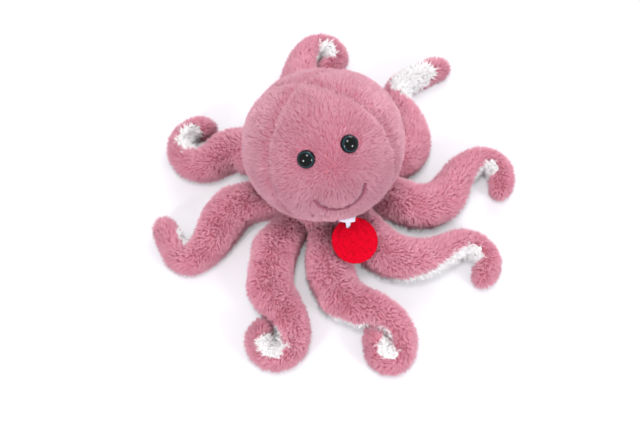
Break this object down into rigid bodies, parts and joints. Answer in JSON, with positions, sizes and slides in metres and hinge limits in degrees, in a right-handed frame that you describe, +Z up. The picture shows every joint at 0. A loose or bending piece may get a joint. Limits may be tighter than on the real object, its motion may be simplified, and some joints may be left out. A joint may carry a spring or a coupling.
{
  "type": "plush octopus",
  "caption": "Stuffed plush octopus with a round smiling head, button eyes, curled arms with white undersides and a bare felt swing tag on a ribbon.",
  "frame": {"origin": "middle of the body underside, on the surface that the toy sits on", "axes": "+Z up, the face looks to -Y and upwards, +X to the right in the picture"},
  "size_m": [0.2914, 0.3128, 0.1379],
  "materials": {
    "plush_face": "matt",
    "plush_pink": "matt",
    "plush_white": "matt",
    "stuffing": "matt",
    "eye_black": "gloss",
    "washer_white": "matt",
    "thread_mauve": "satin",
    "felt_red": "matt",
    "ribbon_white": "satin"
  },
  "bodies": {
    "body": {"body_skin": "plush_pink", "body_base_panel": "plush_pink", "body_filling": "stuffing"},
    "head": {"head_face_panel": "plush_face", "head_right_panel": "plush_face", "head_back_panel": "plush_face", "head_left_panel": "plush_face", "head_filling": "stuffing", "eye_right": "eye_black", "eye_washer_right": "washer_white", "eye_left": "eye_black", "eye_washer_left": "washer_white", "mouth_embroidery": "thread_mauve"},
    "arm_1": {"arm_1_back": "plush_pink", "arm_1_sole": "plush_white", "arm_1_filling": "stuffing"},
    "arm_2": {"arm_2_back": "plush_pink", "arm_2_sole": "plush_white", "arm_2_filling": "stuffing"},
    "arm_3": {"arm_3_back": "plush_pink", "arm_3_sole": "plush_white", "arm_3_filling": "stuffing"},
    "arm_4": {"arm_4_back": "plush_pink", "arm_4_sole": "plush_white", "arm_4_filling": "stuffing"},
    "arm_5": {"arm_5_back": "plush_pink", "arm_5_sole": "plush_white", "arm_5_filling": "stuffing"},
    "arm_6": {"arm_6_back": "plush_pink", "arm_6_sole": "plush_white", "arm_6_filling": "stuffing"},
    "arm_7": {"arm_7_back": "plush_pink", "arm_7_sole": "plush_white", "arm_7_filling": "stuffing"},
    "arm_8": {"arm_8_back": "plush_pink", "arm_8_sole": "plush_white", "arm_8_filling": "stuffing"},
    "tag": {"tag_disc": "felt_red", "tag_loop": "ribbon_white"}
  },
  "joints": [
    {"name": "head_nod", "type": "hinge", "parent": "body", "child": "head", "pos_m": [0.002, 0.004, 0.086], "axis": [1, 0, 0], "range_deg": [-12, 12]},
    {"name": "arm_1_lift", "type": "hinge", "parent": "body", "child": "arm_1", "pos_m": [-0.00451, 0.03672, 0.012], "axis": [0.9925, 0.1219, 0], "range_deg": [0, 35]},
    {"name": "arm_2_lift", "type": "hinge", "parent": "body", "child": "arm_2", "pos_m": [0.02278, 0.02916, 0.012], "axis": [0.788, -0.6157, 0], "range_deg": [0, 35]},
    {"name": "arm_3_lift", "type": "hinge", "parent": "body", "child": "arm_3", "pos_m": [0.03672, 0.00451, 0.012], "axis": [0.1219, -0.9925, 0], "range_deg": [0, 35]},
    {"name": "arm_4_lift", "type": "hinge", "parent": "body", "child": "arm_4", "pos_m": [0.02916, -0.02278, 0.012], "axis": [-0.6157, -0.788, 0], "range_deg": [0, 7]},
    {"name": "arm_5_lift", "type": "hinge", "parent": "body", "child": "arm_5", "pos_m": [0.00451, -0.03672, 0.012], "axis": [-0.9925, -0.1219, 0], "range_deg": [0, 7]},
    {"name": "arm_6_lift", "type": "hinge", "parent": "body", "child": "arm_6", "pos_m": [-0.02278, -0.02916, 0.012], "axis": [-0.788, 0.6157, 0], "range_deg": [0, 35]},
    {"name": "arm_7_lift", "type": "hinge", "parent": "body", "child": "arm_7", "pos_m": [-0.03672, -0.00451, 0.012], "axis": [-0.1219, 0.9925, 0], "range_deg": [0, 35]},
    {"name": "arm_8_lift", "type": "hinge", "parent": "body", "child": "arm_8", "pos_m": [-0.02916, 0.02278, 0.012], "axis": [0.6157, 0.788, 0], "range_deg": [0, 35]},
    {"name": "tag_lift", "type": "hinge", "parent": "body", "child": "tag", "pos_m": [0.01344, -0.02755, 0.033], "axis": [-0.8988, -0.4384, 0], "range_deg": [0, 10]}
  ]
}
